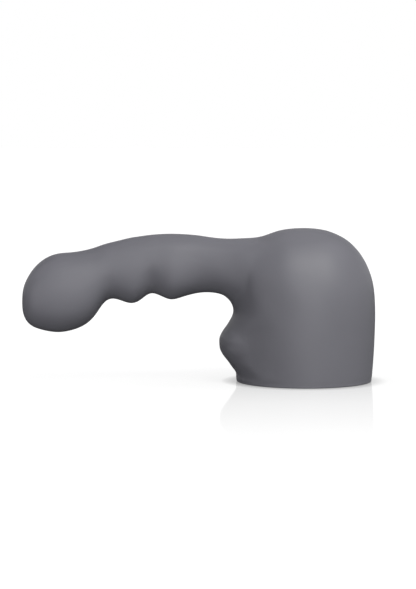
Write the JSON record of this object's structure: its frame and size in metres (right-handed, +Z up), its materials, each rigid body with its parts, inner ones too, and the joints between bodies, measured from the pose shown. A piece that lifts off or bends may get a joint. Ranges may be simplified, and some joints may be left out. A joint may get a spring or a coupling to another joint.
{
  "type": "wand massager attachment",
  "caption": "Slip-on silicone attachment for a wand massager: an open domed cap with a curved, rippled arm, a round weighted tip and a small nub below the arm.",
  "frame": {"origin": "centre of the cap's open mouth, on the plane that the rim stands on", "axes": "+Z up along the cap's axis towards its dome, arm along -X, symmetric about the XZ plane"},
  "size_m": [0.1646, 0.0664, 0.0714],
  "materials": {
    "soft_silicone": "matte",
    "firm_silicone": "matte",
    "turned_steel": "satin",
    "spring_steel": "satin",
    "screw_steel": "satin",
    "ball_steel": "polished",
    "glass_filled_nylon": "matte"
  },
  "bodies": {
    "cap": {"cap_skin": "soft_silicone", "neck_skin": "soft_silicone", "socket_cup": "firm_silicone", "crown_weight": "turned_steel", "leaf_clamp": "turned_steel", "clamp_screws": "screw_steel", "flex_leaf": "spring_steel"},
    "arm": {"arm_skin": "soft_silicone", "core_left": "glass_filled_nylon", "core_right": "glass_filled_nylon", "core_screws": "screw_steel", "tip_weight": "ball_steel"}
  },
  "joints": [
    {"name": "neck_flex", "type": "hinge", "parent": "cap", "child": "arm", "pos_m": [-0.048, 0, 0.05485], "axis": [0, 1, 0], "range_deg": [-15, 15], "stiffness_Nm_per_rad": 2.5, "springref_deg": 0.88, "deforming": ["neck_skin", "flex_leaf"]}
  ]
}
